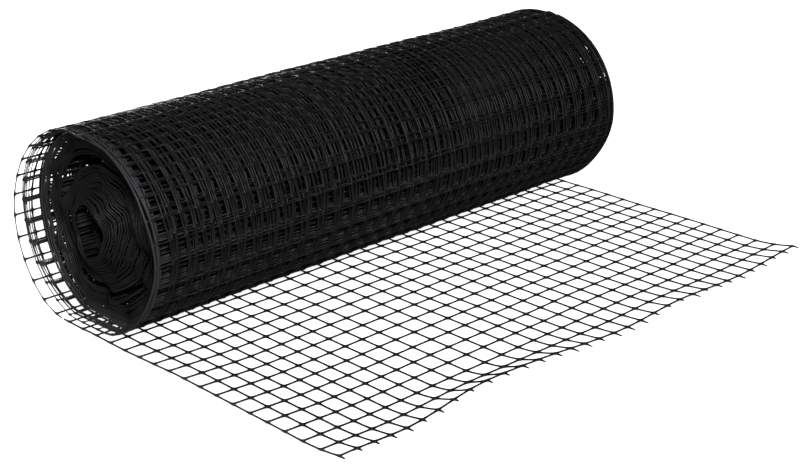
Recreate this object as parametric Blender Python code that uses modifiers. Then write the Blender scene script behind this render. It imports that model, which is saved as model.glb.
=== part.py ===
"""Bird netting roll: stiff black square-mesh net, wound in a roll with its free end laid out in front.

The net is one length of extruded plastic net, 600 mm wide. It lies on the floor from its cut edge at -Y to
under the roll, rises round the back as a loose outer turn and joins the wound turns at the top.
X runs along the roll, the floor is z = 0, and the origin lies on the floor under the roll's axis.
Metres, +Z up.
"""

import bisect
import math

import bmesh
import bpy

# The net
NET_WIDTH = 0.600
CELLS_ACROSS = 32
CELL_ALONG = 0.0209  # the cells are a little longer than wide
NET_THICKNESS = 0.002
FREE_LENGTH = 0.326  # from the cut edge to under the roll's axis
STUB_LENGTH = 0.009  # what the cut leaves of each length strand past the last cross strand

# The source cuts every second gap row and column, so its bars stand for two strands each
CELLS_PER_GAP = 2
BAR_WIDTH = 0.003
SEGMENTS_PER_GAP = 2

# The wound turns
AXIS_HEIGHT = 0.0920
ROLL_RADIUS = 0.0920
NEAR_END = -0.282  # the wound turns stop short of the loose turn's edge here
FAR_END = 0.2985
CORE_HALF_WIDTH = 0.019
CORE_HALF_HEIGHT = 0.024
CORE_BACK = 0.012  # the empty core lies behind and below the axis
CORE_DOWN = 0.006
REST_GAP = 0.0003

# The wound surface shows the net as ridges, one for each bar, with a hollow in each gap between them
ROWS_PER_TURN = 14
STEPS_PER_ROW = 3  # a ridge's top, then where its hollow's floor starts and stops
STEPS_PER_TURN = ROWS_PER_TURN * STEPS_PER_ROW
RIDGE_FLANK = 0.0080  # from a ridge's top to the foot of its slope
HOLLOW_DEPTH = 0.0065
RESTING_ROWS = (6, 7, 8)  # these hollows are left out, because the roll lies on them

# How far the length strands stand from even spacing: columns strand, drift
STRAND_DRIFT = ((0, 0.0), (8, -0.010), (14, 0.002), (24, 0.005), (32, 0.0))

# The cut edge curls up in waves: columns strand, lift
CUT_EDGE_LIFT = ((0, 0.007), (4, 0.004), (9, 0.013), (18, 0.002), (22, 0.005), (27, 0.001), (32, 0.006))
CURL_LENGTH = 0.046

# The near selvage stands a little off the floor
SELVAGE_LIFT = 0.003
SELVAGE_REACH = 0.060
SELVAGE_FADE = (0.200, 0.270)

# The loose turn about the roll's axis: columns degrees from the bottom towards the back, radius
LOOSE_TURN = (
    (25, 0.1004),
    (40, 0.1072),
    (60, 0.1093),
    (85, 0.1070),
    (110, 0.1000),
    (135, 0.0946),
    (160, 0.0922),
    (179, 0.0910),
)

# The main turns at the roll's ends: columns turn, share of the way to the core, inset of the ridge, groove
MAIN_TURNS = (
    (0, 0.000, 0.000, 0.002),
    (1, 0.047, 0.002, 0.004),
    (2, 0.200, 0.006, 0.012),
    (3, 0.420, 0.003, 0.010),
    (4, 0.660, 0.006, 0.007),
    (5, 0.930, 0.009, 0.006),
    (6, 1.000, 0.011, 0.002),
)
RIDGE_SPAN = (0.25, 0.80)  # where a ridge starts and stops between its two grooves

NET_BLACK = (0.013, 0.013, 0.014, 1.0)
NET_ROUGHNESS = 0.42


def remove_everything():
    for thing in list(bpy.data.objects):
        bpy.data.objects.remove(thing, do_unlink=True)


def eased(table, at, column=1):
    """The value of one column at a place between the rows, eased from row to row."""
    places = [row[0] for row in table]
    if at <= places[0]:
        return table[0][column]
    if at >= places[-1]:
        return table[-1][column]
    k = bisect.bisect_right(places, at) - 1
    share = (at - places[k]) / (places[k + 1] - places[k])
    share = share * share * (3 - 2 * share)
    return table[k][column] + (table[k + 1][column] - table[k][column]) * share


def curved(table, at):
    """The second column at a place between the rows, on a smooth curve through them."""
    places = [row[0] for row in table]
    values = [row[1] for row in table]
    k = min(max(bisect.bisect_right(places, at) - 1, 0), len(places) - 2)
    before, after = max(k - 1, 0), min(k + 2, len(places) - 1)
    span = places[k + 1] - places[k]
    slope_in = (values[k + 1] - values[before]) / (places[k + 1] - places[before])
    slope_out = (values[after] - values[k]) / (places[after] - places[k])
    t = (at - places[k]) / span
    return (
        (2 * t**3 - 3 * t**2 + 1) * values[k]
        + (t**3 - 2 * t**2 + t) * span * slope_in
        + (3 * t**2 - 2 * t**3) * values[k + 1]
        + (t**3 - t**2) * span * slope_out
    )


def strand_place(strand):
    """Where a length strand lies across the net, from the near selvage at -X."""
    return NET_WIDTH * (strand / CELLS_ACROSS - 0.5) + eased(STRAND_DRIFT, strand)


def loose_path():
    """The sheet's middle from the cut edge to the top of the roll: (way along it, y, z), close together."""
    middle = NET_THICKNESS / 2
    first, last = LOOSE_TURN[0][0], LOOSE_TURN[-1][0]
    points = [(-FREE_LENGTH, middle)]
    for k in range(4 * (last - first) + 1):
        angle = first + k / 4
        radius = curved(LOOSE_TURN, angle)
        turn = math.radians(angle)
        height = max(AXIS_HEIGHT - radius * math.cos(turn), middle)
        points.append((radius * math.sin(turn), height))
    path = [(0.0, *points[0])]
    for before, after in zip(points, points[1:]):
        path.append((path[-1][0] + math.dist(before, after), *after))
    return path


def on_path(path, along):
    """The sheet's (y, z) at a way along it. A stub runs on straight past the cut edge."""
    if along <= 0:
        return path[0][1] + along, path[0][2]
    places = [row[0] for row in path]
    k = min(bisect.bisect_right(places, along) - 1, len(path) - 2)
    share = (along - path[k][0]) / (path[k + 1][0] - path[k][0])
    return tuple(path[k][c] + (path[k + 1][c] - path[k][c]) * share for c in (1, 2))


def floor_lift(across, along):
    """How far the flat part of the sheet stands off the floor."""
    strand = (across / NET_WIDTH + 0.5) * CELLS_ACROSS
    curl = max(0.0, 1 - max(along, 0.0) / CURL_LENGTH) ** 2
    from_selvage = max(0.0, 1 - (across + NET_WIDTH / 2) / SELVAGE_REACH)
    start, stop = SELVAGE_FADE
    fade = min(max((stop - along) / (stop - start), 0.0), 1.0)
    return eased(CUT_EDGE_LIFT, strand) * curl + SELVAGE_LIFT * from_selvage * fade * (1 - curl)


def bar_lines(centres, segments_between, stub=0.0):
    """The lines of a bar grid: two for each bar's sides and some between, each with what it starts.

    Returns (place, kind), where kind says whether a bar, a gap or a stub begins at that line.
    """
    lines = []
    if stub:
        lines.append((centres[0] - BAR_WIDTH / 2 - stub, "stub"))
    for k, centre in enumerate(centres):
        lines.append((centre - BAR_WIDTH / 2, "bar"))
        if k + 1 < len(centres):
            start, stop = centre + BAR_WIDTH / 2, centres[k + 1] - BAR_WIDTH / 2
            for n in range(segments_between):
                lines.append((start + (stop - start) * n / segments_between, f"gap {k}"))
    lines.append((centres[-1] + BAR_WIDTH / 2, "end"))
    return lines


def loose_end_mesh():
    """The net's sheet as a flat grid of bars, laid along its path."""
    path = loose_path()
    gap = CELLS_PER_GAP * CELL_ALONG
    uncut = f"gap {int(FREE_LENGTH // gap)}"  # the strip that the roll rests on is left whole
    half_bar = BAR_WIDTH / 2
    last = path[-1][0] - half_bar  # the sheet joins the wound turns part of the way through a gap
    rows = [half_bar + gap * n for n in range(int((last - half_bar) // gap) + 1)] + [last]
    # the outermost bars have their outer side on the selvage
    centres = [strand_place(n) for n in range(0, CELLS_ACROSS + 1, CELLS_PER_GAP)]
    centres[0] += half_bar
    centres[-1] -= half_bar
    columns = bar_lines(centres, 1)
    lines = bar_lines(rows, SEGMENTS_PER_GAP, STUB_LENGTH)

    bm = bmesh.new()
    bmesh.ops.create_grid(bm, x_segments=len(columns) - 1, y_segments=len(lines) - 1, size=1)
    wide, deep = len(columns), len(lines)
    kinds = {}
    for vert in bm.verts:
        c = round((vert.co.x + 1) / 2 * (wide - 1))
        r = round((vert.co.y + 1) / 2 * (deep - 1))
        kinds[vert] = (c, r)
    doomed = []
    for face in bm.faces:
        c = min(kinds[v][0] for v in face.verts)
        r = min(kinds[v][1] for v in face.verts)
        across, along = columns[c][1], lines[r][1]
        open_row = along != "bar" and along != uncut
        if across != "bar" and open_row:
            doomed.append(face)
    for vert, (c, r) in kinds.items():
        x, along = columns[c][0], lines[r][0]
        y, z = on_path(path, along)
        if y < 0:
            z += floor_lift(x, along)
        vert.co = (x, y, z)
    bmesh.ops.delete(bm, geom=doomed, context="FACES")
    mesh = bpy.data.meshes.new("loose_end")
    bm.to_mesh(mesh)
    bm.free()
    return mesh


def core_radius(angle):
    across, up = CORE_HALF_WIDTH * math.cos(angle), CORE_HALF_HEIGHT * math.sin(angle)
    return CORE_HALF_WIDTH * CORE_HALF_HEIGHT / math.hypot(across, up)


def wound_point(turn, dip=0.0):
    """(y, z) of the winding after some turns from the top, over the front and inwards."""
    angle = 2 * math.pi * turn
    share = eased(MAIN_TURNS, turn) if turn > 1 else MAIN_TURNS[1][1] * turn
    outer = ROLL_RADIUS - dip
    core = core_radius(angle)
    y = -math.sin(angle) * (outer * (1 - share) + core * share) + CORE_BACK * share
    z = math.cos(angle) * (outer * (1 - share) + core * share) - CORE_DOWN * share
    return y, max(AXIS_HEIGHT + z, NET_THICKNESS + REST_GAP)


def turn_at(step):
    """The turn of a step on the winding: three steps a row, spaced as ridge and hollow need."""
    row, part = divmod(step, STEPS_PER_ROW)
    flank = RIDGE_FLANK * ROWS_PER_TURN / (2 * math.pi * ROLL_RADIUS)
    return (row + (0.0, flank, 1.0 - flank)[part]) / ROWS_PER_TURN


def stations():
    """The rings of the wound surface between its ends: (X, whether the ring crosses the hollows)."""
    bars = [strand_place(n) for n in range(0, CELLS_ACROSS + 1, CELLS_PER_GAP)]
    bars[0], bars[-1] = NEAR_END, FAR_END
    rings = []
    for before, after in zip(bars, bars[1:]):
        rings += [(before, False), (before + RIDGE_FLANK, True), (after - RIDGE_FLANK, True)]
    return rings[1:]


def end_row(at_near_end, turn, across):
    """A point of an end face: across is 0 on a turn's outer groove and 1 on its inner one."""
    outer, inner = wound_point(turn), wound_point(turn + 1)
    y, z = (outer[c] + (inner[c] - outer[c]) * across for c in (0, 1))
    inset = eased(MAIN_TURNS, turn + across, 2)
    if across in (0, 1):
        inset += eased(MAIN_TURNS, turn + across, 3)
    x = NEAR_END + inset if at_near_end else FAR_END - inset
    return x, y, z


def wound_roll_mesh():
    """A loft: the two ends wind in from the outer surface to the core, and two walls join them."""
    bm = bmesh.new()
    turns = MAIN_TURNS[-1][0] - 1
    count = STEPS_PER_TURN

    def end_face(near):
        """The groove and ridge points of one end, and the faces between them."""
        grooves = [
            bm.verts.new(end_row(near, turn_at(n), 0)) for n in range(turns * count + 1)
        ]
        grooves += [
            bm.verts.new(end_row(near, turn_at(n - count), 1))
            for n in range(turns * count + 1, (turns + 1) * count + 1)
        ]
        ridges = [
            [bm.verts.new(end_row(near, turn_at(n), share)) for n in range(turns * count + 1)]
            for share in RIDGE_SPAN
        ]
        for n in range(turns * count):
            across = [(grooves[n], grooves[n + 1])]
            across += [(row[n], row[n + 1]) for row in ridges]
            across.append((grooves[n + count], grooves[n + count + 1]))
            for (a, b), (c, d) in zip(across, across[1:]):
                bm.faces.new((a, c, d, b))
        outer = grooves[: count + 1] + [ridges[1][0], ridges[0][0]]
        inner = grooves[turns * count :] + [ridges[1][-1], ridges[0][-1]]
        return outer, inner

    def wall(near_loop, far_loop, between):
        """Joins two loops by rings of faces, sunk between the ridges where a ring crosses the hollows."""
        rings = [near_loop]
        for x, crosses in between:
            ring = []
            for k, (a, b) in enumerate(zip(near_loop, far_loop)):
                point = a.co.lerp(b.co, (x - NEAR_END) / (FAR_END - NEAR_END))
                row, part = divmod(k, STEPS_PER_ROW)
                if crosses and part and k < count and row not in RESTING_ROWS:
                    point.y, point.z = wound_point(turn_at(k), HOLLOW_DEPTH)
                ring.append(bm.verts.new(point))
            rings.append(ring)
        rings.append(far_loop)
        for before, after in zip(rings, rings[1:]):
            size = len(before)
            for k in range(size):
                after_k = (k + 1) % size
                bm.faces.new((before[k], before[after_k], after[after_k], after[k]))

    near_outer, near_inner = end_face(True)
    far_outer, far_inner = end_face(False)
    wall(near_outer, far_outer, stations())
    wall(near_inner, far_inner, [])
    bmesh.ops.recalc_face_normals(bm, faces=bm.faces)
    mesh = bpy.data.meshes.new("wound_roll")
    bm.to_mesh(mesh)
    bm.free()
    return mesh


def net_plastic():
    material = bpy.data.materials.new("black_net_plastic")
    material.use_nodes = True
    shader = material.node_tree.nodes["Principled BSDF"]
    shader.inputs["Base Color"].default_value = NET_BLACK
    shader.inputs["Roughness"].default_value = NET_ROUGHNESS
    shader.inputs["Metallic"].default_value = 0.0
    return material


def add(collection, name, mesh):
    thing = bpy.data.objects.new(name, mesh)
    thing.data.materials.append(net_plastic())
    collection.objects.link(thing)
    return thing


def main():
    remove_everything()
    collection = bpy.data.collections.new("bird_netting_roll")
    bpy.context.scene.collection.children.link(collection)

    roll = add(collection, "wound_roll", wound_roll_mesh())
    roll.data.shade_smooth()
    roll.data.set_sharp_from_angle(angle=math.radians(35))

    loose_end = add(collection, "loose_end", loose_end_mesh())
    thickness = loose_end.modifiers.new("thickness", "SOLIDIFY")
    thickness.thickness = NET_THICKNESS
    thickness.offset = 0
    thickness.use_even_offset = True


main()
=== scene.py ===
# %% [markdown]
# # A roll of bird netting
#
# Bird netting is black plastic squeezed out as a grid of thin strands. The whole net is one piece: it lies on
# the floor in front, runs under the roll, comes up round the back as a loose turn, and winds inwards some
# 48 times round an empty core. This script builds that one net strand by strand and lays it on that path.

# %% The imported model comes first
import bisect
import math

import bmesh
import bpy
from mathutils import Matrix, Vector, noise


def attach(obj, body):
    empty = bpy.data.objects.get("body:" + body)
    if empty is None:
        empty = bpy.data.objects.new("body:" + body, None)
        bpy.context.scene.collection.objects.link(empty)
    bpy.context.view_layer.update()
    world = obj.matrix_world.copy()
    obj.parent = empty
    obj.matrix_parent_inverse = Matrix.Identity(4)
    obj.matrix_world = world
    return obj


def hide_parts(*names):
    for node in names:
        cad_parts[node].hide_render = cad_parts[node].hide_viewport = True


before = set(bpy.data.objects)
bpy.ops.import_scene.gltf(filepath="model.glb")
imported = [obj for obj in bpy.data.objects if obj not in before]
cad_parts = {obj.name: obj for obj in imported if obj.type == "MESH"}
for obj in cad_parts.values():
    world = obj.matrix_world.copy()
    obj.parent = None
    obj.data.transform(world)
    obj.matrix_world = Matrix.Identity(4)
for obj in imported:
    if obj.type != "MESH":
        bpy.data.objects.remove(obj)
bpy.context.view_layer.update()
print("nodes", sorted(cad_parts))

# %% [markdown]
# The scene can't read the part's source, so its sizes are said again here, in metres. X runs along the roll,
# the floor is z = 0 and the origin is on the floor under the roll's axis.

# %% Sizes that the source also has
NET_WIDTH = 0.600
CELLS_ACROSS = 32
CELL_ALONG = 0.0209
FREE_LENGTH = 0.326  # from the cut edge to under the axis
AXIS_HEIGHT = 0.092
CORE_HALF_WIDTH, CORE_HALF_HEIGHT = 0.019, 0.024
CORE_BACK, CORE_DOWN = 0.012, 0.006
STRAND_DRIFT = ((0, 0.0), (8, -0.010), (14, 0.002), (24, 0.005), (32, 0.0))
CUT_EDGE_LIFT = ((0, 0.007), (4, 0.004), (9, 0.013), (18, 0.002), (22, 0.005), (27, 0.001), (32, 0.006))
CURL_LENGTH = 0.046
SELVAGE_LIFT, SELVAGE_REACH, SELVAGE_FADE = 0.003, 0.060, (0.200, 0.270)
LOOSE_TURN = (  # degrees from the bottom towards the back, radius about the axis
    (25, 0.1004), (40, 0.1072), (60, 0.1093), (85, 0.1070),
    (110, 0.1000), (135, 0.0946), (160, 0.0922), (179, 0.0910),
)

# %% [markdown]
# Two small helpers read such tables. One eases from row to row, and the other draws a smooth curve through
# the rows, which a bent strand needs so that it has no corners.

# %% Reading a table
def eased(table, at, column=1):
    for before, after in zip(table, table[1:]):
        if at < after[0]:
            share = min(max((at - before[0]) / (after[0] - before[0]), 0.0), 1.0)
            share = share * share * (3 - 2 * share)
            return before[column] + (after[column] - before[column]) * share
    return table[-1][column]


def curved(table, at):
    k = sum(at >= row[0] for row in table[1:-1])
    low, high = max(k - 1, 0), min(k + 2, len(table) - 1)
    span = table[k + 1][0] - table[k][0]
    slope_in = (table[k + 1][1] - table[low][1]) / (table[k + 1][0] - table[low][0])
    slope_out = (table[high][1] - table[k][1]) / (table[high][0] - table[k][0])
    t = (at - table[k][0]) / span
    return (
        (2 * t**3 - 3 * t**2 + 1) * table[k][1]
        + (t**3 - 2 * t**2 + t) * span * slope_in
        + (3 * t**2 - 2 * t**3) * table[k + 1][1]
        + (t**3 - t**2) * span * slope_out
    )


def step(at, start, stop):
    """0 before start, 1 after stop, and eased between them."""
    share = min(max((at - start) / (stop - start), 0.0), 1.0)
    return share * share * (3 - 2 * share)


print("the loose turn is", round(curved(LOOSE_TURN, 50) * 1000, 1), "mm from the axis at 50 degrees")

# %% [markdown]
# ## The camera
#
# It stands at the photograph's angle: to the left of the near end, a little above the roll, with a lens long
# enough that the cells at the far corner are only a little smaller than those at the near one.

# %% Camera
TARGET = Vector((0.0582, -0.0230, 0.0))
DISTANCE = 1.614
YAW, PITCH = math.radians(45.7), math.radians(21.4)

looking = Vector((math.cos(PITCH) * math.cos(YAW), math.cos(PITCH) * math.sin(YAW), -math.sin(PITCH)))
camera = bpy.data.objects.new("camera", bpy.data.cameras.new("camera"))
bpy.context.scene.collection.objects.link(camera)
camera.location = TARGET - looking * DISTANCE
camera.rotation_euler = looking.to_track_quat("-Z", "Y").to_euler()
camera.data.lens = 71.9
camera.data.sensor_width = 36.0
camera.data.clip_end = 50.0
bpy.context.scene.camera = camera
print("camera at", [round(c, 3) for c in camera.location])

# %% [markdown]
# ## The path of the net
#
# Seen from the end, the net is one line. Nobody winds a net by hand into a perfect spiral: the outer turns
# have slipped loose at the back, and inside there are crescents where one group of turns has parted from the
# next. So the spiral is a count of turns, a share of the way to the core for each place on it, and a short
# list of gaps. Its inner end crosses the core.

# %% Turns, slack and gaps
TURNS = 48.12
PACKING = ((0, 0.0), (8, 0.0056), (18, 0.0176), (48, 0.0665))  # turn, depth: the outer turns lie closest
OUTER_RADIUS = 0.0910
FLOOR_MIDDLE = 0.0013
UNDER_ROLL = 0.0040  # the lowest a wound turn goes, above the sheet that it lies on
SLACK = (  # turn, how far it hangs off the roll at the back: five turns hang close together
    (0.75, 0.0095), (1.75, 0.0085), (2.75, 0.0078), (3.75, 0.0070), (4.75, 0.0058),
    (5.75, 0.0012), (7.75, 0.0),
)
SLACK_SPAN = 0.30  # of a turn, either side of the back
BACK = 0.75  # where the back is, in turns from the top over the front
GAPS = (  # after which turn, where its middle is, half its span, its depth in metres
    (23, 0.90, 0.20, 0.0170),
    (23, 0.52, 0.20, 0.0130),
    (23, 0.34, 0.16, 0.0060),
    (21, 0.42, 0.15, 0.0030),
    (16, 0.45, 0.15, 0.0025),
    (10, 0.70, 0.30, 0.0060),
    (12, 0.09, 0.12, 0.0050),
    (31, 0.70, 0.20, 0.0040),
)
INNER_END = (0.024, -0.020)  # (y, height above the axis) where the net's inner end crosses the core to
INNER_END_REACH = 0.022


def bump(place, middle, half_span):
    """1 at the middle and 0 a half span away, on a circle one turn round."""
    off = abs((place - middle + 0.5) % 1.0 - 0.5)
    return math.cos(math.pi / 2 * off / half_span) ** 2 if off < half_span else 0.0


def share_inwards(turn):
    passed = total = 0.0
    for after, middle, half_span, depth in GAPS:
        size = depth * bump(turn, middle, half_span)
        crossing = after + middle + 0.5
        passed += size * step(turn, crossing - 0.25, crossing + 0.25)
        total += size
    return (curved(PACKING, turn) + passed) / (PACKING[-1][1] + total)


def core_radius(angle):
    across, up = CORE_HALF_WIDTH * math.cos(angle), CORE_HALF_HEIGHT * math.sin(angle)
    return CORE_HALF_WIDTH * CORE_HALF_HEIGHT / math.hypot(across, up)


def wound_point(turn):
    """(y, z) of the net some turns from the top of the roll, over the front and inwards."""
    angle = 2 * math.pi * turn
    share = share_inwards(turn)
    slack = eased(SLACK, max(turn, SLACK[0][0])) * bump(turn, BACK, SLACK_SPAN)
    radius = OUTER_RADIUS * (1 - share) + core_radius(angle) * share + slack
    y = -math.sin(angle) * radius + CORE_BACK * share
    z = AXIS_HEIGHT + math.cos(angle) * radius - CORE_DOWN * share
    lowest = UNDER_ROLL + 0.0010 * (turn - 0.5)
    return y, max(z, lowest)


for turn in (10, 20):
    print("turn", turn, "passes", [round(c * 1000) for c in wound_point(turn)], "mm")

# %% [markdown]
# The floor, the loose turn and the spiral are joined to one long list of close points, each with its way
# along the net. Any place on the net is then found by how far along it lies, as on a tape measure.

# %% The whole path
STEPS_PER_TURN = 120
INNER_END_STEPS, INNER_END_TURN = 30, 0.3  # the bend across the core, and how much of a turn it counts as


def net_path():
    """Rows of (way along the net, y, z, turn), from the cut edge to the inner end."""
    points = [(-FREE_LENGTH, FLOOR_MIDDLE, -0.5), (0.0, FLOOR_MIDDLE, -0.5)]
    for degrees in range(LOOSE_TURN[0][0], LOOSE_TURN[-1][0]):
        radius, angle = curved(LOOSE_TURN, degrees), math.radians(degrees)
        height = max(AXIS_HEIGHT - radius * math.cos(angle), FLOOR_MIDDLE)
        points.append((radius * math.sin(angle), height, degrees / 360 - 0.5))
    for k in range(int(TURNS * STEPS_PER_TURN) + 1):
        points.append((*wound_point(k / STEPS_PER_TURN), k / STEPS_PER_TURN))
    start, heading = Vector(points[-1][:2]), Vector(points[-1][:2]) - Vector(points[-2][:2])
    heading = heading.normalized() * INNER_END_REACH
    stop = Vector((INNER_END[0], AXIS_HEIGHT + INNER_END[1]))
    for k in range(1, INNER_END_STEPS + 1):
        t = k / INNER_END_STEPS
        place = start * (1 - t) ** 2 + (start + heading) * 2 * t * (1 - t) + stop * t * t
        points.append((place.x, place.y, TURNS + INNER_END_TURN * t))
    along, path = 0.0, []
    for k, point in enumerate(points):
        along += math.dist(points[k - 1][:2], point[:2]) if k else 0.0
        path.append((along, *point))
    return path


PATH = net_path()
WAYS = [row[0] for row in PATH]
TURN_MARKS = [row[3] for row in PATH]
NET_LENGTH = PATH[-1][0]
LAST_ROW = int(NET_LENGTH / CELL_ALONG) - 1
print("the net is", round(NET_LENGTH, 2), "m long and has", LAST_ROW + 1, "cross strands")

# %% [markdown]
# ## How the strands wander
#
# The turns don't lie exactly on each other. A roll that is handled slides along itself like a telescope, so
# the near edges lie 4 to 28 mm in from the flat net's edge, the deep turns at the far end stand out by as
# much, and the innermost turns come forward again in a low cone. In the near half every second turn also lies
# half a cell over at the upper front, which fills that part with fine strands. In the far half the strands
# drift to and fro from turn to turn, and so they gather in broad ribs. Soft noise makes all of this uneven.

# %% Where each strand of each turn lies
NEAR_SELVAGE = (  # turn, X
    (-0.5, -0.3000), (0.0, -0.2993), (0.07, -0.2920), (0.17, -0.2905), (0.27, -0.2870), (0.36, -0.2920),
    (0.55, -0.2965), (0.75, -0.2955), (1.0, -0.2930), (1.25, -0.2845), (1.75, -0.2950), (2.25, -0.2835),
    (2.75, -0.2945), (3.25, -0.2830), (3.75, -0.2934), (4.25, -0.2825), (4.75, -0.2924), (5.25, -0.2820),
    (5.75, -0.2815), (6.25, -0.2820), (6.75, -0.2790), (7.25, -0.2820), (7.75, -0.2775), (9.0, -0.2790),
    (14.0, -0.2770), (22.0, -0.2740), (26.0, -0.2725), (34.0, -0.2740), (48.0, -0.2860),
)
FAR_BULGE = 0.0042  # how far the wound turns reach past the flat net's far edge
FAR_SPREAD, DEEP_SPREAD = 0.0080, 0.0060  # how far some turns stay behind it, and how much more deep ones do
FAR_SLIDE = 0.0202  # the deep turns have slid on by this much, as they have slid in at the near end
SPREAD_NEAR, SPREAD_FAR = 0.0030, 0.0050  # how far turns slip sideways, at most about half of this each way
SWAY_FAR = 0.0032  # the far half drifts to and fro from turn to turn
FROM_TURN_TO_TURN = 0.382  # of a cycle, a share that never comes back to the same place
APART = 0.0047  # half of half a cell, which every second turn lies over one way, and the others the other way
APART_PLACE, APART_SPAN = 0.09, 0.27  # turns
NEAR_SLIP = 0.0014  # a turn's near edge as a whole
NEAR_HOLLOWS = ((36, 0.0090, 3.7), (75, 0.0036, 1.3))  # the deep near edges: waves a metre, depth, seed
STRAND_WAVER, WOUND_WAVER = 0.0011, 0.0005  # single strands, on the floor and in the roll


def soft_noise(*place):
    return noise.noise(Vector(place))


def near_selvage(turn, wound):
    """X of the near edge: the outer turns follow the table, and the deep ones stand in and out of it."""
    near = eased(NEAR_SELVAGE, turn) + NEAR_SLIP * wound * soft_noise(turn * 1.7, 3.1, 0.5)
    deep = step(turn, 4.0, 20.0)
    if deep:
        y, z = wound_point(turn)
        near += deep * sum(depth * soft_noise(y * rate, z * rate, seed) for rate, depth, seed in NEAR_HOLLOWS)
    return near


def far_selvage(turn, wound):
    spread = FAR_SPREAD + DEEP_SPREAD * step(turn, 2.0, 8.0)
    behind = spread * bump(turn * FROM_TURN_TO_TURN, 0.5, 0.5)
    return NET_WIDTH / 2 + (FAR_BULGE - behind) * wound + FAR_SLIDE * step(turn, 0.0, 20.0)


def lateral(turn, strand):
    """X of a length strand: even between the selvages, with its drift and its slips."""
    share = strand / CELLS_ACROSS
    wound = step(turn, -0.1, 0.6)
    near, far = near_selvage(turn, wound), far_selvage(turn, wound)
    drift = eased(STRAND_DRIFT, strand) * (1 - 0.65 * wound)
    spread = SPREAD_NEAR + (SPREAD_FAR - SPREAD_NEAR) * share
    slip = spread * wound * soft_noise(turn * 1.37, share * 2.2, 5.5)
    waver = STRAND_WAVER + (WOUND_WAVER - STRAND_WAVER) * wound
    slip += waver * soft_noise(turn * 6.0, strand * 0.9, 9.5)
    sway = math.sin(2 * math.pi * (FROM_TURN_TO_TURN * turn + 0.6 * share))
    slip += SWAY_FAR * wound * step(share, 0.35, 0.65) * sway
    every_second = 1 if round(turn - APART_PLACE) % 2 else -1
    apart = min(1.0, 1.7 * bump(turn, APART_PLACE, APART_SPAN)) * every_second
    slip += wound * APART * apart * (1 - step(share, 0.45, 0.70))
    edge = min(strand / 2, CELLS_ACROSS - strand, 1)
    return near + (far - near) * share + drift + slip * edge


for name, strand in (("near", 0), ("far", CELLS_ACROSS)):
    print(name, "selvage at the front", round(lateral(0.25, strand) * 1000), "mm")

# %% [markdown]
# A turn is a little shorter than the one outside it, so the cross strands of two turns fall in step at some
# places and half a cell apart at others. Where that happens is up to how tightly the net was pulled. Here
# each of the first ten turns is pulled along just enough that they lie half a cell apart at the upper front,
# which fills it with fine strands, and in step on the lower front, which leaves clear dark squares.

# %% In step and out of step
IN_STEP = (  # place on a turn, cells that each turn lies ahead of the one before, from which turn
    (0.10, 0.50, 1), (0.31, 0.00, 1), (0.42, 0.00, 1), (0.75, 0.50, 5),
)
TURNS_IN_STEP = 10
SLANT, FAR_SLANT = 0.008, 0.014  # how far a cross strand leans from square, over its whole length
UNEVEN = 0.002


def way_to(turn):
    return WAYS[bisect.bisect_left(TURN_MARKS, turn)]


def stretches():
    """(turn, shift): how far the net is pulled along so that its first turns lie in or half out of step."""
    table = [(-0.3, 0.0), (0.40, 0.0)]
    for k in range(1, TURNS_IN_STEP + 1):
        for place, ahead_by, since in IN_STEP:
            ahead = (way_to(place + k) - way_to(place)) / CELL_ALONG
            shift = ahead - (ahead_by * k if k >= since else 0) - table[-1][1] / CELL_ALONG
            shift = (shift + 0.5) % 1.0 - 0.5
            table.append((place + k, table[-1][1] + shift * CELL_ALONG))
    return table


STRETCHES = stretches()


def lean(turn, strand):
    """How far a point lies along from its row: the net is pulled a little, and no row lies quite square."""
    share = strand / CELLS_ACROSS
    wound = step(turn, -0.1, 0.6)
    slant = SLANT * soft_noise(turn * 0.8, 1.5, 7.7) * (share - 0.5)
    slant += FAR_SLANT * soft_noise(turn * 0.9, 4.5, 2.7) * step(share, 0.4, 1.0)
    return eased(STRETCHES, turn) + wound * (slant + UNEVEN * soft_noise(turn * 2.0, share * 3.0, 4.4))


print("the net is pulled in by up to", round(-min(shift for _, shift in STRETCHES) * 1000), "mm")

# %% [markdown]
# With these, any point of the net has its place. On the floor the net lifts at its cut edge, which keeps some
# of the curl it had in the roll, and along its near selvage. In the roll the turns swell a little towards the
# far end.

# %% A point of the net
FLAT_UNTIL = -0.42  # before this turn the net is on the floor, or about to leave it
FLOOR_WAVES, FLOOR_WAVER = 0.0006, 0.0012  # how unevenly the net lies there, up and along
GIRTH = ((-0.30, -0.0020), (-0.15, -0.0002), (0.0, 0.0014), (0.2, 0.0016), (0.305, 0.0032))  # X, added radius
FRONT_GIRTH = (0.10, 0.30, 0.0020)  # the front also swells towards the far end: from X, to X, by
ROUGH, ROUGH_EDGE = 0.0005, 0.0016  # how unevenly the turns lie on each other, and how much more at the edges


def floor_lift(x, along, strand):
    curl = max(0.0, 1 - max(along, 0.0) / CURL_LENGTH) ** 2
    from_selvage = max(0.0, 1 - (x + NET_WIDTH / 2) / SELVAGE_REACH)
    fade = min(max((SELVAGE_FADE[1] - along) / (SELVAGE_FADE[1] - SELVAGE_FADE[0]), 0.0), 1.0)
    return eased(CUT_EDGE_LIFT, strand) * curl + SELVAGE_LIFT * from_selvage * fade * (1 - curl)


def out_of_path(turn, strand, x, z):
    """How far a point of the roll stands out from the path."""
    at_edge = max(0.0, 1 - min(strand, CELLS_ACROSS - strand) / 2.0)
    rough = ROUGH + ROUGH_EDGE * step(turn, 6.0, 16.0) * at_edge
    out = rough * soft_noise(turn * 9.0, strand * 0.35, 1.1)
    if turn > 0:
        raised = step(z, 0.03, 0.09) * math.exp(-turn / 12)
        front = step(x, FRONT_GIRTH[0], FRONT_GIRTH[1]) * FRONT_GIRTH[2] * bump(turn, 0.19, 0.2)
        out += raised * (eased(GIRTH, x) + front)
    return out


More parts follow.
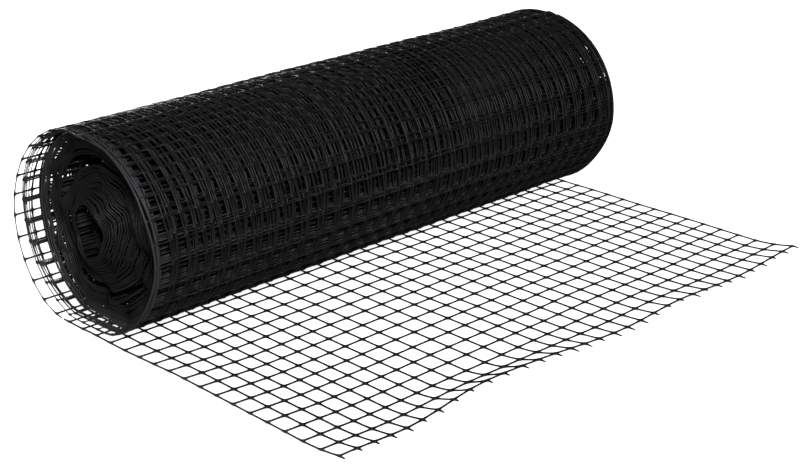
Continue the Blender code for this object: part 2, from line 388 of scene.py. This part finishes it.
def step_before(along):
    """Which step of the path some way along the net falls on."""
    return min(max(bisect.bisect_right(WAYS, along) - 1, 0), len(PATH) - 2)


def net_point(row, strand):
    """The place of a crossing, or of a point between crossings."""
    along = row * CELL_ALONG
    along += lean(PATH[step_before(along)][3], strand)
    k = step_before(along)
    before, after = PATH[k], PATH[k + 1]
    share = (along - before[0]) / (after[0] - before[0])
    y, z, turn = (before[c] + (after[c] - before[c]) * share for c in (1, 2, 3))
    x = lateral(turn, strand)
    if turn > FLAT_UNTIL:
        slope = Vector((0, after[1] - before[1], after[2] - before[2])).normalized()
        out = out_of_path(turn, strand, x, z)
        y, z = y + slope.z * out, z - slope.y * out
    elif y < 0:
        z += floor_lift(x, along, strand)
        z += FLOOR_WAVES * (1 + soft_noise(x * 14, y * 14, 2.2))
        y += FLOOR_WAVER * soft_noise(x * 9, y * 9, 6.6)
    return x, y, z


corners = [[round(c, 3) for c in net_point(0, strand)] for strand in (0, CELLS_ACROSS)]
print("the corners of the cut edge are at", corners)

# %% [markdown]
# ## From a grid to strands
#
# A net could be thousands of thin tubes laid across each other, but extruded net has no loose crossings: the
# strands melt into one another, and each crossing is a small flat cushion. Blender's Wireframe modifier makes
# just that from a plain grid. It turns every edge into a strand, joins them at the corners, and reads a
# vertex group for how thick each place is.
#
# On a bent grid the modifier would flatten its strands to blades, so each length of net is made flat first.
# Every vertex remembers which row and which strand it belongs to, and is then carried to that point of the
# path with the three directions that the net has there. What the net has on the floor and in its loose turn
# is rounded with one subdivision, and the wound turns, of which there are far more, stay four-sided strands.

# %% Rows of the net
ROWS_ON_FLOOR = 17
TOP_ROW = 31


def rows_at(turn):
    """The last cross strand before some turn."""
    way = next(row[0] for row in PATH if row[3] >= turn)
    return int(way / CELL_ALONG)


print("the first turn ends at cross strand", rows_at(1.0))

# %% [markdown]
# The strands are not all alike. In the roll the length strands are stouter than the cross strands and the
# selvages stouter still, and where the net is seen close up, every crossing has a small cushion. Where the
# outer turns hang off the roll at the near end, the photograph shows their selvage as a fine line, so it is
# drawn thin there.

# %% How thick each place is
STRAND_HALF = 0.00087  # half a strand's thickness between crossings, on the floor and in the loose turn
CROSSING_HALF = 0.00140
WOUND_LENGTH_HALF, WOUND_CROSS_HALF = 0.00104, 0.00066
WOUND_CROSSING_HALF = 0.00095
FAR_SELVAGE_HALF = 0.00140  # the far edges of the wound turns lie close enough together to shut out the light
RIM_HALF, RIM_TURNS = 0.00125, (8.0, 12.0)  # the near selvage, and the turns in which it gets thinner
LOOP_SELVAGE_HALF = 0.00050  # the selvage of the turns that hang off the roll, drawn thin
LOOP_SPAN, LOOP_TURNS = 0.36, (5.0, 6.0)
CUSHION_REACH = 0.11  # how far the cushion of a crossing reaches, as a share of a cell


def selvage_half(row):
    """Half the thickness of the near selvage: thin on the loops at the back, stout at the rim of the roll."""
    turn = PATH[min(max(bisect.bisect_right(WAYS, row * CELL_ALONG) - 1, 0), len(PATH) - 1)][3]
    stout = RIM_HALF + (WOUND_LENGTH_HALF - RIM_HALF) * step(turn, *RIM_TURNS)
    hanging = min(1.0, 2 * bump(turn, BACK, LOOP_SPAN)) * (1 - step(turn, *LOOP_TURNS))
    return stout + (LOOP_SELVAGE_HALF - stout) * hanging


def cushion(share):
    """1 at a crossing and 0 away from it."""
    off = min(share % 1.0, 1 - share % 1.0)
    return max(0.0, 1 - off / CUSHION_REACH)


def half_thickness(row, strand, rounded, crossing):
    """Half the thickness of the net at some place, with a cushion at every crossing."""
    if strand == 0 and row > ROWS_ON_FLOOR:
        between = selvage_half(row)
    elif rounded:
        between = STRAND_HALF
    elif strand == CELLS_ACROSS:
        between = FAR_SELVAGE_HALF
    else:
        between = WOUND_LENGTH_HALF if strand % 1 == 0 else WOUND_CROSS_HALF
    return between + (crossing - between) * min(cushion(row), cushion(strand))


print("a strand on the floor is", round(2000 * STRAND_HALF, 2), "mm thick, a crossing", 2000 * CROSSING_HALF)

# %% [markdown]
# The flat net starts as a grid with a vertex at every crossing. Each cell's length strands are then cut into
# four parts where the net is seen close up, and into two elsewhere, so that a strand can bend between
# crossings. The near selvage always has four, because the rim of the roll is where bends show most.

# %% The flat grid
SELVAGE_CUTS = 3


def flat_place(row, strand):
    return Vector((strand * NET_WIDTH / CELLS_ACROSS, row * CELL_ALONG, 0.0))


def cut_places(cuts, cushions):
    """Where the points between two crossings lie, as shares of a cell."""
    places = [(k + 1) / (cuts + 1) for k in range(cuts)]
    if cushions:
        places[0], places[-1] = CUSHION_REACH, 1 - CUSHION_REACH
    return places


def cut_cells(bm, layer, cuts, cushions, only_selvage=False):
    """Cuts the edges that run from one whole row or strand to the next."""
    strand_of = bm.verts.layers.float["strand"]
    edges = [e for e in bm.edges if abs(abs(e.verts[0][layer] - e.verts[1][layer]) - 1) < 1e-4]
    if only_selvage:
        edges = [e for e in edges if e.verts[0][strand_of] == e.verts[1][strand_of] == 0]
    if not cuts:
        return
    made = bmesh.ops.bisect_edges(bm, edges=edges, cuts=cuts)["geom_split"]
    for vert in (v for v in made if isinstance(v, bmesh.types.BMVert)):
        share = vert[layer] % 1.0
        vert[layer] += cut_places(cuts, cushions)[round(share * (cuts + 1)) - 1] - share


def flat_grid(low, high, cuts_along, cuts_across, rounded):
    """A grid whose vertices know their row, their strand and how thick the net is there."""
    bm = bmesh.new()
    bmesh.ops.create_grid(bm, x_segments=CELLS_ACROSS, y_segments=high - low, size=0.5)
    row_of, strand_of = bm.verts.layers.float.new("row"), bm.verts.layers.float.new("strand")
    weight = bm.verts.layers.deform.verify()
    for vert in bm.verts:
        vert[strand_of] = round((vert.co.x + 0.5) * CELLS_ACROSS)
        vert[row_of] = low + round((vert.co.y + 0.5) * (high - low))
    cushions = cuts_across > 0
    cut_cells(bm, row_of, SELVAGE_CUTS, cushions, only_selvage=True)
    cut_cells(bm, strand_of, cuts_across, cushions)
    cut_cells(bm, row_of, cuts_along, cushions)
    crossing = CROSSING_HALF if cushions else WOUND_CROSSING_HALF
    for vert in bm.verts:
        row, strand = vert[row_of], vert[strand_of]
        vert[weight][0] = half_thickness(row, strand, rounded, crossing) / CROSSING_HALF
        vert.co = flat_place(row, strand)
    bmesh.ops.recalc_face_normals(bm, faces=bm.faces)
    return bm


print("points in a cell of the near selvage", [round(p, 2) for p in cut_places(SELVAGE_CUTS, True)])

# %% [markdown]
# The Wireframe modifier turns that grid into strands. The grid has a row too many at both ends, so that the
# strands can be cut half a cell past the last cross strand that is wanted. Then every vertex is carried to
# the path, keeping its distance from its own point of the net, and the cut ends are closed.

# %% From the grid to strands, and to the path
ROUNDED = 0.71  # what subdividing leaves of the thickness
STUB, STUB_VARIES = 0.36, 0.24  # what the knife left of a length strand, in cells, and how uneven that is
NEARBY = 0.05  # how far apart, in cells, the points are that give a direction
END_SIDES = 8  # a cut end has at most this many sides


def apply_modifiers(obj):
    """Gives the object the mesh that its modifiers make."""
    before = obj.data
    made = bpy.data.meshes.new_from_object(obj.evaluated_get(bpy.context.evaluated_depsgraph_get()))
    obj.modifiers.clear()
    obj.data = made
    bpy.data.meshes.remove(before)


def flat_net(name, bm, rounded):
    mesh = bpy.data.meshes.new(name)
    bm.to_mesh(mesh)
    bm.free()
    net = bpy.data.objects.new(name, mesh)
    bpy.context.scene.collection.objects.link(net)
    net.vertex_groups.new(name="thickness")
    wire = net.modifiers.new("strands", "WIREFRAME")
    wire.thickness = 2 * CROSSING_HALF / (ROUNDED if rounded else 1)
    wire.offset, wire.vertex_group = 0.0, "thickness"
    wire.use_even_offset = wire.use_boundary = wire.use_replace = True
    apply_modifiers(net)
    return net


def directions(row, strand):
    """A point of the net and its three directions there: across the net, along it and out of it."""
    here = Vector(net_point(row, strand))
    right = Vector(net_point(row, min(strand + NEARBY, CELLS_ACROSS)))
    across = right - Vector(net_point(row, max(strand - NEARBY, 0)))
    along = Vector(net_point(row + NEARBY, strand)) - Vector(net_point(row - NEARBY, strand))
    across.normalize()
    along.normalize()
    return here, across, along, across.cross(along).normalized()


def stub_length(strand):
    """What the knife left of a length strand past the last cross strand, in cells: no two are alike."""
    return STUB + STUB_VARIES * soft_noise(strand * 1.37, 0.4, 0.9)


def lay_on_path(bm, row_of, strand_of):
    """Moves flat net to its path: every vertex keeps its distance from its own point of the net."""
    known = {}
    for vert in bm.verts:
        row, strand = round(vert[row_of], 2), round(vert[strand_of], 2)
        if (row, strand) not in known:
            known[row, strand] = directions(-stub_length(strand) if row == -0.5 else row, strand)
        here, across, along, out = known[row, strand]
        off = vert.co - flat_place(row, strand)
        vert.co = here + across * off.x + along * off.y + out * off.z


def cut_and_lay(net, first, last):
    """Cuts the strands half a cell past two cross strands, lays them on the path and closes their ends."""
    bm = bmesh.new()
    bm.from_mesh(net.data)
    row_of, strand_of = bm.verts.layers.float["row"], bm.verts.layers.float["strand"]
    outside = []
    for face in bm.faces:
        row = sum(v[row_of] for v in face.verts) / len(face.verts)
        if not first - 0.5 < row < last + 0.5:
            outside.append(face)
    bmesh.ops.delete(bm, geom=outside, context="FACES")
    lay_on_path(bm, row_of, strand_of)
    open_edges = [e for e in bm.edges if len(e.link_faces) == 1]
    bmesh.ops.holes_fill(bm, edges=open_edges, sides=END_SIDES)
    for face in bm.faces:
        face.smooth = True
    bm.to_mesh(net.data)
    bm.free()


def net_length(name, first, last, cuts_along, cuts_across, rounded):
    """The net from half a cell before one cross strand to half a cell past another, as a mesh of strands."""
    net = flat_net(name, flat_grid(first - 1, last + 1, cuts_along, cuts_across, rounded), rounded)
    cut_and_lay(net, first, last)
    if rounded:
        smooth = net.modifiers.new("round", "SUBSURF")
        smooth.levels = smooth.render_levels = 1
        apply_modifiers(net)
    net.data.name = name
    net.vertex_groups.clear()
    count = sum(len(p.vertices) - 2 for p in net.data.polygons)
    print(name, "rows", first, "to", last, "triangles", count)
    return net


# %% [markdown]
# The whole net as one mesh would have nearly a million triangles, so it is made in seven lengths of less than
# 200,000. Each starts where the one before was cut, so the strands run on from length to length. The first
# three are seen best, and have the finer cuts.

# %% The lengths, one after another
FINE, COARSE = (3, 2), (1, 0)  # cuts in a cell of a length strand, and in a cell of a cross strand
lengths = [
    ("net_on_floor", "loose_end", 0, ROWS_ON_FLOOR, FINE, True),
    ("net_loose_turn", "loose_end", ROWS_ON_FLOOR + 1, TOP_ROW, FINE, True),
]
stops = [TOP_ROW, rows_at(2.2), rows_at(10.0), rows_at(20.5), rows_at(32.5), LAST_ROW]
for k, (before, last) in enumerate(zip(stops, stops[1:])):
    lengths.append((f"net_turns_{k + 1}", "wound_roll", before + 1, last, COARSE if k else FINE, False))
pieces = [
    (net_length(name, first, last, *cuts, rounded), node, first, last)
    for name, node, first, last, cuts, rounded in lengths
]

# %% [markdown]
# ## Black polyethylene
#
# Extruded HDPE, coloured with carbon black: near black, with a waxy half-gloss that is a little uneven. The
# marks that the die leaves on a strand are some 0.2 mm fine, far less than a pixel here, so the grain is
# drawn about five times too coarse, at 1 mm, just enough to break up the gloss. The near selvage of the
# outer turns is painted a lighter grey, a painted highlight for the light that the rim of the roll catches.
# The rows and strands that every vertex remembers say where that is.

# %% Colours and nodes
def colour(text):
    """An sRGB hex value as linear RGBA."""
    parts = (int(text[k : k + 2], 16) / 255 for k in (0, 2, 4))
    return (*((c / 12.92 if c <= 0.04045 else ((c + 0.055) / 1.055) ** 2.4) for c in parts), 1.0)


def add_node(owner, kind, links=(), **settings):
    """A node of a material or world, with its settings, and links to it as (input, other node, output)."""
    node = owner.node_tree.nodes.new(kind)
    for key, value in settings.items():
        if key.startswith("in_"):
            node.inputs[key[3:].replace("_", " ")].default_value = value
        else:
            setattr(node, key, value)
    for name, other, output in links:
        owner.node_tree.links.new(other.outputs[output], node.inputs[name])
    return node


MIX_A, MIX_B, MIXED = 6, 7, 2  # where a Mix node keeps its colours among its inputs and outputs
# The rim of the roll gets a painted highlight: a lighter grey on the near selvage of the outer turns, up to
# these cross strands and this far in.
HIGHLIGHT_ROWS = (rows_at(7.0), rows_at(14.0))  # the selvage is scuffed grey before these turns
HIGHLIGHT_REACH = 0.6  # of a cell in from the selvage
# The rows printed here are those that carry the painted highlight on the rim.
print("scuffed before the cross strands", HIGHLIGHT_ROWS)

# %% The net's plastic
def painted_rim_highlight(material):
    """Where the painted highlight goes: 1 on the near selvage of the outer turns, and 0 away from it."""
    strand = add_node(material, "ShaderNodeAttribute", attribute_name="strand")
    row = add_node(material, "ShaderNodeAttribute", attribute_name="row")
    falling = {"in_To_Min": 1.0, "in_To_Max": 0.0}
    rim = add_node(
        material, "ShaderNodeMapRange", [("Value", strand, "Fac")], in_From_Max=HIGHLIGHT_REACH, **falling
    )
    outer = add_node(
        material, "ShaderNodeMapRange", [("Value", row, "Fac")],
        in_From_Min=HIGHLIGHT_ROWS[0], in_From_Max=HIGHLIGHT_ROWS[1], **falling,
    )
    both = [(0, rim, "Result"), (1, outer, "Result")]
    return add_node(material, "ShaderNodeMath", both, operation="MULTIPLY")


def extruded_hdpe():
    material = bpy.data.materials.new("extruded_hdpe_black")
    material.use_nodes = True
    tree = material.node_tree
    shader = tree.nodes["Principled BSDF"]
    shader.inputs["IOR"].default_value = 1.54
    shader.inputs["Specular IOR Level"].default_value = 0.15
    place = [("Vector", add_node(material, "ShaderNodeTexCoord"), "Object")]
    patches = add_node(material, "ShaderNodeTexNoise", place, in_Scale=60.0, in_Detail=3.0)
    tint = add_node(material, "ShaderNodeMix", [("Factor", patches, "Fac")], data_type="RGBA")
    tint.inputs[MIX_A].default_value = colour("151516")
    tint.inputs[MIX_B].default_value = colour("1E1E20")
    # Painted highlight: the near selvage of the outer turns is mixed towards a lighter grey, for the light
    # that the rim catches.
    mixed = [("Factor", painted_rim_highlight(material), "Value"), (MIX_A, tint, MIXED)]
    rim_highlight_mix = add_node(material, "ShaderNodeMix", mixed, data_type="RGBA")
    rim_highlight_mix.inputs[MIX_B].default_value = colour("323235")
    tree.links.new(rim_highlight_mix.outputs[MIXED], shader.inputs["Base Color"])
    grain = add_node(material, "ShaderNodeTexNoise", place, in_Scale=900.0, in_Detail=2.0)
    gloss = add_node(
        material, "ShaderNodeMapRange", [("Value", grain, "Fac")], in_To_Min=0.36, in_To_Max=0.56
    )
    tree.links.new(gloss.outputs["Result"], shader.inputs["Roughness"])
    bumps = add_node(
        material, "ShaderNodeBump", [("Height", grain, "Fac")], in_Strength=0.35, in_Distance=0.0002
    )
    tree.links.new(bumps.outputs["Normal"], shader.inputs["Normal"])
    return material


net_plastic = extruded_hdpe()
print("material", net_plastic.name, "with", len(net_plastic.node_tree.nodes), "nodes")

# %% [markdown]
# Every length is one piece of the same cloth. It rides on the only body and stands for its solid.

for k, (net, node, first, last) in enumerate(pieces):
    net.data.materials.clear()
    net.data.materials.append(net_plastic)
    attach(net, "root")
    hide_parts(node)

# %% [markdown]
# ## Floor and light
#
# The photograph is a cut-out on pure white. A white floor that glows keeps the strands crisp against white,
# and since neither its glow nor its bounce reaches the net, the plastic stays black. A key light from the
# front left models the front of the roll, a weaker light from behind does it for the back, and the white
# surroundings add a little from everywhere.

# %% Floor
def studio_white():
    material = bpy.data.materials.new("studio_paper_white")
    material.use_nodes = True
    shader = material.node_tree.nodes["Principled BSDF"]
    shader.inputs["Base Color"].default_value = colour("F6F6F6")
    shader.inputs["Roughness"].default_value = 0.9
    shader.inputs["Specular IOR Level"].default_value = 0.0
    shader.inputs["Emission Color"].default_value = (1.0, 1.0, 1.0, 1.0)
    shader.inputs["Emission Strength"].default_value = 0.94
    return material


bm = bmesh.new()
bmesh.ops.create_circle(bm, cap_ends=True, segments=96, radius=12.0)
floor_mesh = bpy.data.meshes.new("floor")
bm.to_mesh(floor_mesh)
bm.free()
floor = bpy.data.objects.new("floor", floor_mesh)
bpy.context.scene.collection.objects.link(floor)
floor.data.materials.append(studio_white())
floor.visible_diffuse = floor.visible_glossy = False

# %% Light
SKY_LIGHT = 0.17  # how strongly the white surroundings light the net
ROLL_MIDDLE = (0, 0, 0.1)

world = bpy.data.worlds.new("studio")
bpy.context.scene.world = world
world.use_nodes = True
sky = world.node_tree.nodes["Background"]
sky.inputs["Color"].default_value = (1.0, 1.0, 1.0, 1.0)
seen = [("Value", add_node(world, "ShaderNodeLightPath"), "Is Camera Ray")]
strength = add_node(world, "ShaderNodeMapRange", seen, in_To_Min=SKY_LIGHT, in_To_Max=1.0)
world.node_tree.links.new(strength.outputs["Result"], sky.inputs["Strength"])


def soft_light(name, place, width, power):
    light = bpy.data.lights.new(name, "AREA")
    light.shape, light.size, light.energy = "DISK", width, power
    lamp = bpy.data.objects.new(name, light)
    bpy.context.scene.collection.objects.link(lamp)
    lamp.location = place
    lamp.rotation_euler = (Vector(ROLL_MIDDLE) - Vector(place)).to_track_quat("-Z", "Y").to_euler()


soft_light("key", (-1.15, -1.70, 1.25), 0.50, 56.0)
soft_light("back", (1.0, 2.2, 0.5), 0.80, 38.0)
bpy.context.scene.view_settings.view_transform = "Standard"
bpy.context.scene.view_settings.look = "None"
